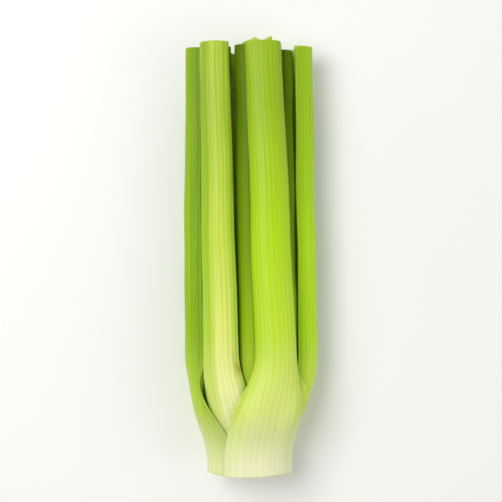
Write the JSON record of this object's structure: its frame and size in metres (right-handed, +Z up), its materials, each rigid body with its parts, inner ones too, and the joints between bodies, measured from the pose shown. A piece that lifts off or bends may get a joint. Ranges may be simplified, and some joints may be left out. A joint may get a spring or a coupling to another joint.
{
  "type": "celery heart",
  "caption": "Trimmed celery heart lying on its side: ribbed crescent stalks packed round a cut crown, tops cut square, small pale leaves in the middle.",
  "frame": {"origin": "middle of the bounding box in plan, on the surface that the heart lies on", "axes": "+Y along the stalks from the root cut to the cut tops, +Z up, +X to the right when seen from above with the tops away from the viewer"},
  "size_m": [0.0814, 0.269, 0.0561],
  "materials": {
    "outer_skin": "satin",
    "middle_skin": "satin",
    "inner_skin": "satin",
    "crown": "matte",
    "heart_leaf": "matte"
  },
  "bodies": {
    "root": {"crown_base": "crown", "outer_stalk_1": "outer_skin", "outer_stalk_2": "outer_skin", "outer_stalk_3": "outer_skin", "outer_stalk_4": "outer_skin", "outer_stalk_5": "outer_skin", "outer_stalk_6": "outer_skin", "middle_stalk_1": "middle_skin", "middle_stalk_2": "middle_skin", "middle_stalk_3": "middle_skin", "middle_stalk_4": "middle_skin", "middle_stalk_5": "middle_skin", "inner_stalk_1": "inner_skin", "inner_stalk_2": "inner_skin", "inner_stalk_3": "inner_skin", "heart_leaves_1": "heart_leaf", "heart_leaves_2": "heart_leaf", "heart_leaves_3": "heart_leaf"}
  },
  "joints": []
}
